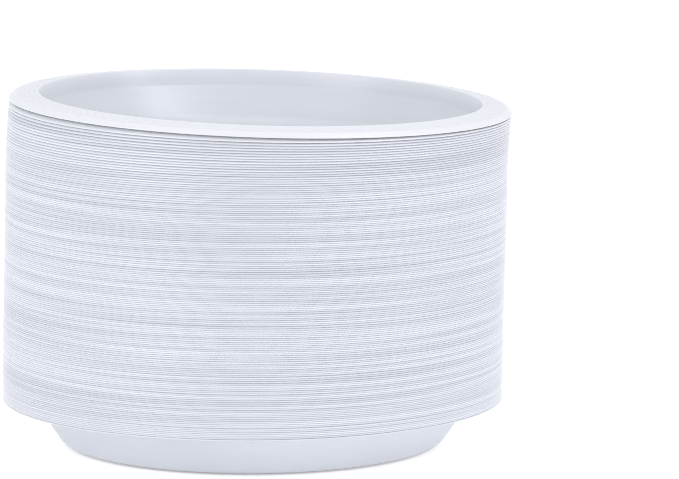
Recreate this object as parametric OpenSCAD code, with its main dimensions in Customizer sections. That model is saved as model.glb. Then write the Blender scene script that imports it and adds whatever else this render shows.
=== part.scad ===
// Stack of round, clear, thin-walled appetizer plates, nested in one another.
// Every plate is the same thermoformed piece. The foot of the lowest plate
// stands on the plane z = 0 with its centre on the Z axis, and Y points away
// from the front of the stack. All lengths are in millimetres.

/* [Stack] */
// Number of plates, counted from the one that stands on the table
plate_count = 150; // [30:3:150]
// Mean rise from one plate to the next where the stack is level
rise_mean = 0.632; // [0.6:0.001:1.2]
// Smallest rise, where a plate is pressed right home in the one below
rise_min = 0.57; // [0.56:0.01:0.6]
// Sideways bow of the stack from its foot to its top
bow = 1.6; // [0:0.1:1.8]
// Tilt that the stack gathers from its foot to its top, in degrees
stack_tilt = 0.52; // [0:0.01:0.6]
// Extra tilt of the loose plates near the top, which fan out, in degrees
fan_tilt = 1.02; // [0:0.01:1.1]
// Number of plates in that loose fan
fan_count = 30; // [12:1:30]
// Further tilt of the last plate, which lies a little askew, in degrees
top_tilt = 0.36; // [0:0.01:0.8]
// Slide of the loose plates down their slope
fan_slide = 1.3; // [0:0.1:1.5]
// Further slide of the last plate
top_slide = 0.15; // [0:0.05:0.5]
// Small odd tilt of each plate, either way, in degrees
odd_tilt = 0.007; // [0:0.001:0.008]

/* [Plate] */
// Diameter of a plate over its rim
plate_d = 178; // [176:0.5:180]
// Height of a plate's crest over its foot, measured on the underside
crest_h = 18.6; // [18.2:0.1:19]
// Diameter of the flat foot and floor
foot_d = 134.4; // [133:0.2:136]
// Diameter at the crease, where the wall turns steeper
crease_d = 152; // [151.6:0.2:153]
// Height of the crease
crease_h = 12.8; // [12:0.1:13.5]
// Diameter of the crest, the inner edge of the rim
crest_d = 157; // [156:0.2:158]
// Diameter of the shoulder, where the rim turns down into its lip
shoulder_d = 174.6; // [173.6:0.2:175]
// Fall of the rim from the crest to the shoulder
rim_fall = 1.1; // [0.5:0.05:1.3]
// Height of the lip's lower edge over the foot
lip_h = 16.1; // [15.6:0.1:16.2]

/* [Sheet] */
// Thickness of the floor
floor_t = 0.36; // [0.3:0.01:0.42]
// Thickness of the walls, measured upright
wall_t = 0.46; // [0.4:0.01:0.48]
// Thickness of the rim
rim_t = 0.4; // [0.32:0.01:0.44]
// Thickness of the lip, measured upright
lip_t = 0.42; // [0.34:0.01:0.46]

/* [Bends] */
// Radius of the bend at the foot
foot_bend = 6.8; // [4:0.2:7.2]
// Radius of the bend at the crease
crease_bend = 2.4; // [1:0.1:3]
// Radius of the bend at the crest
crest_bend = 0.8; // [0.4:0.1:1]
// Radius of the bend at the shoulder
shoulder_bend = 0.9; // [0.4:0.1:1.2]
// Flats that each bend is made of
bend_steps = 2; // [2:1:4]

/* [Hidden] */
$fn = 96;
plate_r = plate_d / 2;
// Plates that share a node, between the bottom one and the top two
per_node = 3;
group_count = (plate_count - 3) / per_node;
// Height at which the walls of two plates centre each other
hold_h = 16;
// Rise of the steepest wall for each millimetre outwards
wall_slope = 2.6;
sheet_colour = [0.84, 0.87, 0.92];

function group_name(g) =
    let (a = 2 + (g - 1) * per_node, b = a + per_node - 1)
    str("plates_", three(a), "_to_", three(b));
function three(n) = str(n < 100 ? "0" : "", n < 10 ? "0" : "", n);

// ---- outline of one plate: a bent line, given the sheet's thickness ----

// Corners of the underside from the middle of the foot out to the lip's
// edge: radius, height, radius of the bend, thickness of the sheet there
corners = [
    [0, 0, 0, floor_t],
    [foot_d / 2, 0, foot_bend, floor_t + 0.04],
    [crease_d / 2, crease_h, crease_bend, wall_t],
    [crest_d / 2, crest_h, crest_bend, wall_t - 0.02],
    [shoulder_d / 2, crest_h - rim_fall, shoulder_bend, rim_t],
    [plate_r - 0.12, lip_h, 0, lip_t]
];

function unit2(v) = v / norm(v);

// Points of the bend at corner b between its neighbours a and c, each with
// its thickness. The sheet's thickness changes evenly along the bend.
function bend(a, b, c) =
    let (
        p = [a[0], a[1]], q = [b[0], b[1]], s = [c[0], c[1]],
        u = unit2(p - q), v = unit2(s - q),
        half = acos(u * v) / 2,
        back = b[2] / tan(half),
        mid = q + unit2(u + v) * b[2] / sin(half),
        from = q + u * back - mid,
        turn = 180 - 2 * half,
        way = cross([from[0], from[1], 0], [v[0], v[1], 0])[2] > 0 ? 1 : -1
    )
    [for (k = [0:bend_steps])
        let (w = way * turn * k / bend_steps)
        [mid[0] + from[0] * cos(w) - from[1] * sin(w),
         mid[1] + from[0] * sin(w) + from[1] * cos(w),
         b[3]]];

underside = concat(
    [[corners[0][0], corners[0][1], corners[0][3]]],
    [for (n = [1:len(corners) - 2]) each bend(corners[n - 1], corners[n], corners[n + 1])],
    [[corners[5][0], corners[5][1], corners[5][3]]]
);
top_side = [for (n = [len(underside) - 1:-1:0]) [underside[n][0], underside[n][1] + underside[n][2]]];

// The lip's cut edge is rounded by one more point
outline = concat(
    [for (p = underside) [p[0], p[1]]],
    [[plate_r, lip_h + lip_t * 0.35]],
    top_side
);

module plate() {
    rotate_extrude() polygon(outline);
}

// ---- how the plates lie in the stack ----

// Repeatable odd number from 0 to 1 for plate i
function odd(i, k) = let (x = sin(i * 127.1 + k * 311.7) * 43758.5453) x - floor(x);

// Share of the stack's height at plate i, from 0 at the foot to 1 at the top
function share(i) = i / (plate_count - 1);

// Place of plate i in the loose fan, from 0 below it to 1 at the top
function fan(i) = min(1, max(0, (i - (plate_count - fan_count)) / (fan_count - 2)));

// Tilt of plate i to the right, and its nod to the back, in degrees
function tilt(i) =
    i == 0 ? 0 :
    stack_tilt * share(i)
    + fan_tilt * pow(fan(i), 2)
    + (i == plate_count - 1 ? top_tilt : 0)
    + odd_tilt * (2 * odd(i, 2) - 1);
function nod(i) = i == 0 ? 0 : odd_tilt * (2 * odd(i, 3) - 1);

// Rise from plate i to the next: never less than rise_min at the side where
// two plates that tilt or slide differently come closest
function rise(i) =
    rise_min
    + (rise_mean - rise_min) * (0.3 + 2.1 * pow(odd(i, 1), 2)) * (1 + 0.45 * sin(i * 17) * sin(i * 5 + 40))
    + plate_r * abs(sin(tilt(i + 1) - tilt(i)))
    + wall_slope * abs(shift(i + 1) - shift(i));

lift = [for (i = 0, z = 0; i < plate_count; z = z + rise(i), i = i + 1) z];

// Sideways place of the walls' centre at plate i
function shift(i) =
    let (u = min(1, share(i) / 0.9))
    bow * u * u * (3 - 2 * u)
    + fan_slide * pow(fan(i), 2)
    + (i == plate_count - 1 ? top_slide : 0);

module placed(i) {
    translate([shift(i) - hold_h * sin(tilt(i)), 0, lift[i]])
        rotate([nod(i), tilt(i), 0])
            plate();
}

// ---- the nodes ----

module bottom_plate() {
    color(sheet_colour) placed(0);
}

module plate_group(g) {
    color(sheet_colour)
        for (k = [0:per_node - 1]) placed(1 + (g - 1) * per_node + k);
}

// The plate next below the top one
module second_plate() {
    color(sheet_colour) placed(plate_count - 2);
}

module top_plate() {
    color(sheet_colour) placed(plate_count - 1);
}

bottom_plate();
for (g = [1:group_count]) plate_group(g);
second_plate();
top_plate();
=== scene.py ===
"""Looks of the nested stack of clear plates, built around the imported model."""
import math

import bpy
import numpy as np
from mathutils import Matrix, Vector


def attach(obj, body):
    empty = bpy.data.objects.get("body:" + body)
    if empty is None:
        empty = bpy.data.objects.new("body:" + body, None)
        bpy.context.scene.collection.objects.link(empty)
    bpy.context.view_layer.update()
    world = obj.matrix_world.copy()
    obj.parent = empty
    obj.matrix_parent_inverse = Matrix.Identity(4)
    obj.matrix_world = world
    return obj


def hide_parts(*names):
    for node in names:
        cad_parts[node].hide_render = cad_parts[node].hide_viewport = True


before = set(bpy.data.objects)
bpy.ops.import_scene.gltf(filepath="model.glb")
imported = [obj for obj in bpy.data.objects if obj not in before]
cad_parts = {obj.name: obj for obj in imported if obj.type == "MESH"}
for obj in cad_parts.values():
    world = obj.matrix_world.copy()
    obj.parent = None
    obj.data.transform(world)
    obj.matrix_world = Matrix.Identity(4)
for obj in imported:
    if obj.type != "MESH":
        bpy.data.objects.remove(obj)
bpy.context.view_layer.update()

SEED = 7
MM = 0.001
scene = bpy.context.scene

# ---------------------------------------------------------------- the stack's rule
# The same rule as the construction's, so that a detailed plate lies where its node is.
COUNT, RISE_MEAN, RISE_MIN, BOW = 150, 0.632, 0.57, 1.6
STACK_TILT, FAN_TILT, FAN_COUNT, TOP_TILT, ODD_TILT = 0.52, 1.02, 30, 0.36, 0.007
FAN_SLIDE, TOP_SLIDE, WALL_SLOPE = 1.3, 0.15, 2.6
PLATE_R, HOLD_H = 89.0, 16.0


def sind(a):
    return math.sin(math.radians(a))


def odd(i, k):
    x = sind(math.fmod(i * 127.1 + k * 311.7, 360.0)) * 43758.5453
    return x - math.floor(x)


def fan(i):
    return min(1.0, max(0.0, (i - (COUNT - FAN_COUNT)) / (FAN_COUNT - 2)))


def tilt(i):
    if i == 0:
        return 0.0
    return (STACK_TILT * i / (COUNT - 1) + FAN_TILT * fan(i) ** 2 + (TOP_TILT if i == COUNT - 1 else 0.0)
            + ODD_TILT * (2 * odd(i, 2) - 1))


def shift(i):
    u = min(1.0, i / (COUNT - 1) / 0.9)
    return BOW * u * u * (3 - 2 * u) + FAN_SLIDE * fan(i) ** 2 + (TOP_SLIDE if i == COUNT - 1 else 0.0)


def nod(i):
    return 0.0 if i == 0 else ODD_TILT * (2 * odd(i, 3) - 1)


def rise(i):
    return (RISE_MIN
            + (RISE_MEAN - RISE_MIN) * (0.3 + 2.1 * odd(i, 1) ** 2) * (1 + 0.45 * sind(i * 17) * sind(i * 5 + 40))
            + PLATE_R * abs(sind(tilt(i + 1) - tilt(i))) + WALL_SLOPE * abs(shift(i + 1) - shift(i)))


def place(i):
    """Where plate i lies, as a matrix from the plate's own millimetres to metres."""
    z = sum(rise(j) for j in range(i))
    x = shift(i) - HOLD_H * sind(tilt(i))
    turn = Matrix.Rotation(math.radians(tilt(i)), 4, "Y") @ Matrix.Rotation(math.radians(nod(i)), 4, "X")
    return Matrix.Scale(MM, 4) @ Matrix.Translation((x, 0, z)) @ turn


# ---------------------------------------------------------------- one detailed plate
# Corners of the underside: radius, height, radius of the bend, upright thickness of the sheet
CORNERS = [
    (0.0, 0.0, 0.0, 0.36),
    (67.2, 0.0, 6.8, 0.40),
    (76.0, 12.8, 2.4, 0.46),
    (78.5, 18.6, 0.8, 0.437),
    (87.3, 17.5, 0.9, 0.40),
    (88.88, 16.1, 0.0, 0.42),
]
BAND = (79.35, 86.95)      # the embossed part of the rim, between these radii
CELLS, CELL_RUN = 140, 3.42  # diamonds around, and the length of one of them along the radius
FINE, COARSE = 840, 210


def bend(a, b, c, steps):
    p, q, s = (np.array(v[:2]) for v in (a, b, c))
    u = (p - q) / np.linalg.norm(p - q)
    v = (s - q) / np.linalg.norm(s - q)
    half = math.acos(float(u @ v)) / 2
    mid = q + (u + v) / np.linalg.norm(u + v) * b[2] / math.sin(half)
    start = q + u * b[2] / math.tan(half) - mid
    turn = math.pi - 2 * half
    way = 1.0 if start[0] * v[1] - start[1] * v[0] > 0 else -1.0
    out = []
    for k in range(steps + 1):
        w = way * turn * k / steps
        out.append((mid[0] + start[0] * math.cos(w) - start[1] * math.sin(w),
                    mid[1] + start[0] * math.sin(w) + start[1] * math.cos(w), b[3]))
    return out


def between(a, b, n):
    """n points inside the stretch from a to b, evenly spaced."""
    a, b = np.array(a), np.array(b)
    return [tuple(a + (b - a) * k / (n + 1)) for k in range(1, n + 1)]


def underside():
    """Rings of the underside from the middle out: radius, height, thickness."""
    c = CORNERS
    foot, crease = bend(c[0], c[1], c[2], 10), bend(c[1], c[2], c[3], 5)
    crest, shoulder = bend(c[2], c[3], c[4], 6), bend(c[3], c[4], c[5], 5)
    rings = [(0.0, 0.0, c[0][3])]
    for r in (10.0, 24.0, 40.0, 54.0):
        rings.append((r, 0.0, c[0][3] + (foot[0][2] - c[0][3]) * r / foot[0][0]))
    rings += foot + between(foot[-1], crease[0], 2) + crease + between(crease[-1], crest[0], 2)
    split = len(rings)
    rings += crest + between(crest[-1], shoulder[0], 30) + shoulder
    tip = (c[5][0], c[5][1], c[5][3])
    rings += between(shoulder[-1], tip, 2) + [tip]
    return rings, split


def diamonds(theta, r):
    """Height of the embossing: low pyramids in a lattice of diagonal grooves, in mm."""
    u = theta * CELLS / (2 * math.pi)
    v = (r - BAND[0]) / CELL_RUN
    p, q = u + v, u - v
    fp = np.abs(p - np.floor(p) - 0.5)
    fq = np.abs(q - np.floor(q) - 0.5)
    h = 1.0 - 2.0 * np.maximum(fp, fq)
    h = np.clip(h * 1.25, 0.0, 1.0)
    edge = np.clip((r - BAND[0]) / 0.5, 0, 1) * np.clip((BAND[1] - r) / 0.5, 0, 1)
    return (h - 0.72) * edge


def detailed_plate(name, matrix, emboss, wave, seed):
    rings, split = underside()
    tip_r, tip_z, tip_t = rings[-1]
    # One closed run of rings: up the underside, round the cut edge, and back over the top
    run = [(r, z, i < split) for i, (r, z, t) in enumerate(rings)]
    run += [(tip_r + 0.075, tip_z + 0.05, False), (PLATE_R - 0.002, tip_z + 0.15, False), (tip_r + 0.08, tip_z + 0.30, False)]
    run += [(r, z + t, i < split) for i, (r, z, t) in reversed(list(enumerate(rings)))]
    rng = np.random.default_rng(seed)
    phases = rng.uniform(0, 2 * math.pi, 6)
    verts, starts, counts = [], [], []
    total = 0
    for k, (r, z, coarse) in enumerate(run):
        n = 1 if r == 0 else (COARSE if coarse else FINE)
        th = np.arange(n) * 2 * math.pi / n
        h = np.full(n, z)
        if n > 1:
            # A formed sheet isn't true: outside 70 mm, the wall and the rim wave by a few hundredths
            h = h + wave * (r / 89.0) ** 2 * (0.5 * np.sin(2 * th + phases[0]) + 0.3 * np.sin(3 * th + phases[1])
                                              + 0.2 * np.sin(5 * th + phases[2])) * (r > 70)
        if n == FINE and BAND[0] < r < BAND[1]:
            h = h + emboss * diamonds(th, np.full(n, r))
        verts.append(np.column_stack([r * np.cos(th), r * np.sin(th), h]))
        starts.append(total)
        counts.append(n)
        total += n
    faces = []
    for k in range(len(run) - 1):
        a, b, na, nb = starts[k], starts[k + 1], counts[k], counts[k + 1]
        if na == 1:
            faces += [(a, b + (j + 1) % nb, b + j) for j in range(nb)]
        elif nb == 1:
            faces += [(a + j, a + (j + 1) % na, b) for j in range(na)]
        elif na == nb:
            faces += [(a + j, a + (j + 1) % na, b + (j + 1) % nb, b + j) for j in range(na)]
        elif nb > na:
            m = nb // na
            for j in range(na):
                j2 = (j + 1) % na
                cut = m // 2
                for s in range(m):
                    f0, f1 = b + j * m + s, b + (j * m + s + 1) % nb
                    faces.append((a + j if s < cut else a + j2, f1, f0))
                faces.append((a + j, a + j2, b + j * m + cut))
        else:
            m = na // nb
            for j in range(nb):
                j2 = (j + 1) % nb
                cut = m // 2
                for s in range(m):
                    f0, f1 = a + j * m + s, a + (j * m + s + 1) % na
                    faces.append((f0, f1, b + j if s < cut else b + j2))
                faces.append((a + j * m + cut, b + j2, b + j))
    co = np.concatenate(verts)
    mesh = bpy.data.meshes.new(name)
    mesh.from_pydata(co.tolist(), [], faces)
    mesh.transform(matrix)
    mesh.update()
    mesh.shade_smooth()
    obj = bpy.data.objects.new(name, mesh)
    scene.collection.objects.link(obj)
    return obj


# ---------------------------------------------------------------- materials
class Nodes:
    """Short hand for building a node tree."""

    def __init__(self, tree):
        self.tree = tree
        tree.nodes.clear()

    def add(self, kind, **values):
        n = self.tree.nodes.new(kind)
        for key, value in values.items():
            if hasattr(n, key):
                setattr(n, key, value)
            else:
                n.inputs[key.replace("_", " ")].default_value = value
        return n

    def link(self, out, into):
        self.tree.links.new(out, into)

    def math(self, op, a, b=None, c=None, clamp=False):
        n = self.tree.nodes.new("ShaderNodeMath")
        n.operation = op
        n.use_clamp = clamp
        for k, x in enumerate((a, b, c)):
            if x is None:
                continue
            if isinstance(x, (int, float)):
                n.inputs[k].default_value = x
            else:
                self.link(x, n.inputs[k])
        return n.outputs[0]

    def vec(self, op, a, b=None, scale=None):
        n = self.tree.nodes.new("ShaderNodeVectorMath")
        n.operation = op
        for k, x in enumerate((a, b)):
            if x is None:
                continue
            if isinstance(x, (tuple, list)):
                n.inputs[k].default_value = x
            else:
                self.link(x, n.inputs[k])
        if scale is not None:
            n.inputs["Scale"].default_value = scale
        return n.outputs["Value"] if op in ("LENGTH", "DOT_PRODUCT") else n.outputs[0]

    def span(self, x, a, b, c, d, clamp=True):
        n = self.tree.nodes.new("ShaderNodeMapRange")
        n.clamp = clamp
        for k, v in zip(("From Min", "From Max", "To Min", "To Max"), (a, b, c, d)):
            n.inputs[k].default_value = v
        self.link(x, n.inputs["Value"])
        return n.outputs["Result"]


LINE_PITCH = 1150.0   # how quickly the tone changes up the stack, in noise cells a metre


def sheet_material(name, alpha, round_cad, dark, light, painted_shade_reach, painted_slot_shade, gloss, rim=None, painted_glow=0.0):
    """Clear, slightly blue-grey formed sheet. round_cad turns the flat facets' normals into a turned surface's."""
    mat = bpy.data.materials.new(name)
    mat.use_nodes = True
    n = Nodes(mat.node_tree)
    out = n.add("ShaderNodeOutputMaterial")
    bsdf = n.add("ShaderNodeBsdfPrincipled")
    bsdf.inputs["IOR"].default_value = 1.38 if round_cad else 1.5
    bsdf.inputs["Coat Weight"].default_value = 0.0
    geo = n.add("ShaderNodeNewGeometry")
    pos = geo.outputs["Position"]

    # Height along the stack, with the slow lean of the plates taken out
    xyz = n.tree.nodes.new("ShaderNodeSeparateXYZ")
    n.link(pos, xyz.inputs[0])
    lean = n.math("MULTIPLY", n.math("MULTIPLY", xyz.outputs[0], xyz.outputs[2]), 0.0865)
    level = n.math("ADD", xyz.outputs[2], lean)
    along_stack = n.tree.nodes.new("ShaderNodeCombineXYZ")
    n.link(n.math("MULTIPLY", xyz.outputs[0], 9.0), along_stack.inputs[0])
    n.link(n.math("MULTIPLY", xyz.outputs[1], 9.0), along_stack.inputs[1])
    n.link(n.math("MULTIPLY", level, LINE_PITCH), along_stack.inputs[2])
    line = n.add("ShaderNodeTexNoise", Scale=1.0, Detail=0.0, Roughness=0.5)
    n.link(along_stack.outputs[0], line.inputs["Vector"])
    patch = n.add("ShaderNodeTexNoise", Scale=1.0, Detail=2.0, Roughness=0.5)
    n.link(n.vec("MULTIPLY", pos, (8.0, 8.0, 30.0)), patch.inputs["Vector"])

    # Each plate's edge gets a random lighter or darker tone, painted light for how each catches the light, and
    # painted shade darkens the slots between them
    tone = n.add("ShaderNodeValToRGB")
    tone.color_ramp.elements[0].position = 0.32
    tone.color_ramp.elements[0].color = dark
    tone.color_ramp.elements[1].position = 0.68
    tone.color_ramp.elements[1].color = light
    share = 0.1 if rim else 0.85
    blend = n.math("ADD", n.math("MULTIPLY", line.outputs["Fac"], share), n.math("MULTIPLY", patch.outputs["Fac"], 1 - share))
    n.link(blend, tone.inputs["Fac"])
    # Painted shade: an ambient occlusion node darkens the base colour in the slots between plates, in the embossed
    # grooves and where a sheet nears the floor
    slot = n.add("ShaderNodeAmbientOcclusion", samples=4)
    slot.inputs["Distance"].default_value = painted_shade_reach
    shade = n.math("POWER", slot.outputs["AO"], n.span(line.outputs["Fac"], 0.35, 0.62, painted_slot_shade, painted_slot_shade * 0.35))
    shaded = n.tree.nodes.new("ShaderNodeVectorMath")
    shaded.operation = "SCALE"
    colour = tone.outputs["Color"]
    if rim:
        # The rim band gets a lighter colour than the smooth bowl, painted light for the light the rim catches: rim
        # is (its colour, the plate's centre along X)
        out_from = n.vec("LENGTH", n.vec("MULTIPLY", n.vec("SUBTRACT", pos, (rim[1], 0.0, 0.0)), (1.0, 1.0, 0.0)))
        mix = n.tree.nodes.new("ShaderNodeMix")
        mix.data_type = "RGBA"
        n.link(n.span(out_from, 0.0765, 0.0790, 0.0, 1.0), mix.inputs[0])
        n.link(colour, mix.inputs[6])
        mix.inputs[7].default_value = rim[0]
        colour = mix.outputs[2]
    n.link(colour, shaded.inputs[0])
    n.link(shade, shaded.inputs["Scale"])
    n.link(shaded.outputs[0], bsdf.inputs["Base Color"])
    # Painted light: a faint glow, standing in for light that runs inside the sheet and leaves it again in the slots
    bsdf.inputs["Emission Color"].default_value = (0.955, 0.96, 0.985, 1)
    bsdf.inputs["Emission Strength"].default_value = painted_glow

    rough = n.add("ShaderNodeTexNoise", Scale=55.0, Detail=3.0, Roughness=0.6)
    n.link(pos, rough.inputs["Vector"])
    n.link(n.span(rough.outputs["Fac"], 0.3, 0.7, gloss[0], gloss[1]), bsdf.inputs["Roughness"])

    # Faint ripple of a formed sheet
    ripple = n.add("ShaderNodeTexNoise", Scale=24.0, Detail=1.0, Roughness=0.4)
    n.link(pos, ripple.inputs["Vector"])
    bump = n.add("ShaderNodeBump", Strength=0.12, Distance=0.0006)
    n.link(ripple.outputs["Fac"], bump.inputs["Height"])
    if round_cad:
        normal = geo.outputs["Normal"]
        flat_pos = n.vec("MULTIPLY", pos, (1.0, 1.0, 0.0))
        out_dir = n.vec("NORMALIZE", flat_pos)
        flat_normal = n.vec("MULTIPLY", normal, (1.0, 1.0, 0.0))
        size = n.vec("LENGTH", flat_normal)
        sign = n.math("SIGN", n.vec("DOT_PRODUCT", flat_normal, out_dir))
        along = n.tree.nodes.new("ShaderNodeVectorMath")
        along.operation = "SCALE"
        n.link(out_dir, along.inputs[0])
        n.link(n.math("MULTIPLY", size, sign), along.inputs["Scale"])
        turned = n.vec("ADD", along.outputs[0], n.vec("MULTIPLY", normal, (0.0, 0.0, 1.0)))
        n.link(n.vec("NORMALIZE", turned), bump.inputs["Normal"])
    n.link(bump.outputs["Normal"], bsdf.inputs["Normal"])
    bsdf.inputs["Alpha"].default_value = alpha
    n.link(bsdf.outputs["BSDF"], out.inputs["Surface"])
    return mat


# Painted light: the lighter colour painted on the upper plates' rims, for the light they catch from above
PAINTED_RIM_LIGHT = (0.765, 0.777, 0.818, 1)
BOWL = (0.60, 0.616, 0.662, 1), (0.685, 0.70, 0.744, 1)
# Painted shade: the bottom plate's rim gets a darker copy of the rim colour, for the shade under the stack
PAINTED_LOW_RIM_SHADE = (0.70, 0.715, 0.76, 1)
clear = {x: sheet_material("clear_sheet_%d" % k, 0.86, False, *BOWL, 0.0012, 0.60, (0.285, 0.34), (rim, x))
         for k, (x, rim) in enumerate(((0.0, PAINTED_LOW_RIM_SHADE), (0.003, PAINTED_RIM_LIGHT)))}
nested = sheet_material("nested_sheet", 0.93, True, (0.54, 0.554, 0.603, 1), (0.655, 0.669, 0.713, 1), 0.0014, 0.0, (0.285, 0.40), painted_glow=0.08)

for name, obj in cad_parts.items():
    for slot in obj.material_slots:
        slot.material = nested

# ---------------------------------------------------------------- detailed plates
for node_name, i, emboss in (("top_plate", 149, 0.26), ("second_plate", 148, 0.20), ("bottom_plate", 0, 0.20)):
    obj = detailed_plate("formed_" + node_name, place(i), emboss, 0.006, SEED + i)
    obj.data.materials.append(clear[0.003 if i else 0.0])
    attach(obj, "root")
    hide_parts(node_name)

# ---------------------------------------------------------------- floor, light, camera
def stage_material():
    mat = bpy.data.materials.new("pale_floor")
    mat.use_nodes = True
    n = Nodes(mat.node_tree)
    out = n.add("ShaderNodeOutputMaterial")
    bsdf = n.add("ShaderNodeBsdfPrincipled", Roughness=0.9)
    bsdf.inputs["Base Color"].default_value = (0.86, 0.865, 0.875, 1)
    bsdf.inputs["Emission Color"].default_value = (1, 1, 1, 1)
    bsdf.inputs["Emission Strength"].default_value = 0.45
    n.link(bsdf.outputs["BSDF"], out.inputs["Surface"])
    return mat


bpy.ops.mesh.primitive_circle_add(vertices=96, radius=14.0, fill_type="NGON", location=(0, 0, -0.0002))
floor = bpy.context.object
floor.name = "floor"
floor.data.materials.append(stage_material())

world = bpy.data.worlds.new("studio")
scene.world = world
world.use_nodes = True
w = Nodes(world.node_tree)
wout = w.add("ShaderNodeOutputWorld")
back = w.add("ShaderNodeBackground", Strength=1.0)
back.inputs["Color"].default_value = (0.955, 0.968, 1.0, 1)
w.link(back.outputs[0], wout.inputs["Surface"])


def softbox(name, loc, aim, size, power, tint=(1, 1, 1)):
    light = bpy.data.lights.new(name, "AREA")
    light.shape = "RECTANGLE"
    light.size, light.size_y = size
    light.energy = power
    light.color = tint
    obj = bpy.data.objects.new(name, light)
    obj.location = loc
    obj.rotation_euler = (Vector(aim) - Vector(loc)).to_track_quat("-Z", "Y").to_euler()
    scene.collection.objects.link(obj)
    return obj


softbox("key", (-1.1, -0.9, 1.3), (0, 0, 0.08), (1.0, 1.0), 8.0)
softbox("strip", (1.04, -0.16, 1.35), (0, 0, 0.10), (0.40, 1.2), 7.5)

DIST, HEIGHT, PITCH, FOCAL_PX, AXIS_X = 2.0, 0.3775, 0.15150, 5698.3, 251.31
camera = bpy.data.cameras.new("camera")
camera.sensor_width = 36.0
camera.lens = 36.0 * FOCAL_PX / 679.0
camera.clip_start, camera.clip_end = 0.05, 60.0
cam = bpy.data.objects.new("camera", camera)
yaw = math.atan((339.5 - AXIS_X) / FOCAL_PX)
cam.location = (0.0, -DIST, HEIGHT)
cam.rotation_euler = (math.pi / 2 - PITCH, 0.0, -yaw)
scene.collection.objects.link(cam)
scene.camera = cam

scene.view_settings.view_transform = "Standard"
scene.view_settings.look = "None"
scene.cycles.max_bounces = 10
scene.cycles.diffuse_bounces = 6
scene.cycles.glossy_bounces = 4
scene.cycles.transmission_bounces = 4
scene.cycles.transparent_max_bounces = 24
scene.cycles.use_denoising = True
scene.cycles.pixel_filter_type = "BLACKMAN_HARRIS"
scene.cycles.filter_width = 1.05
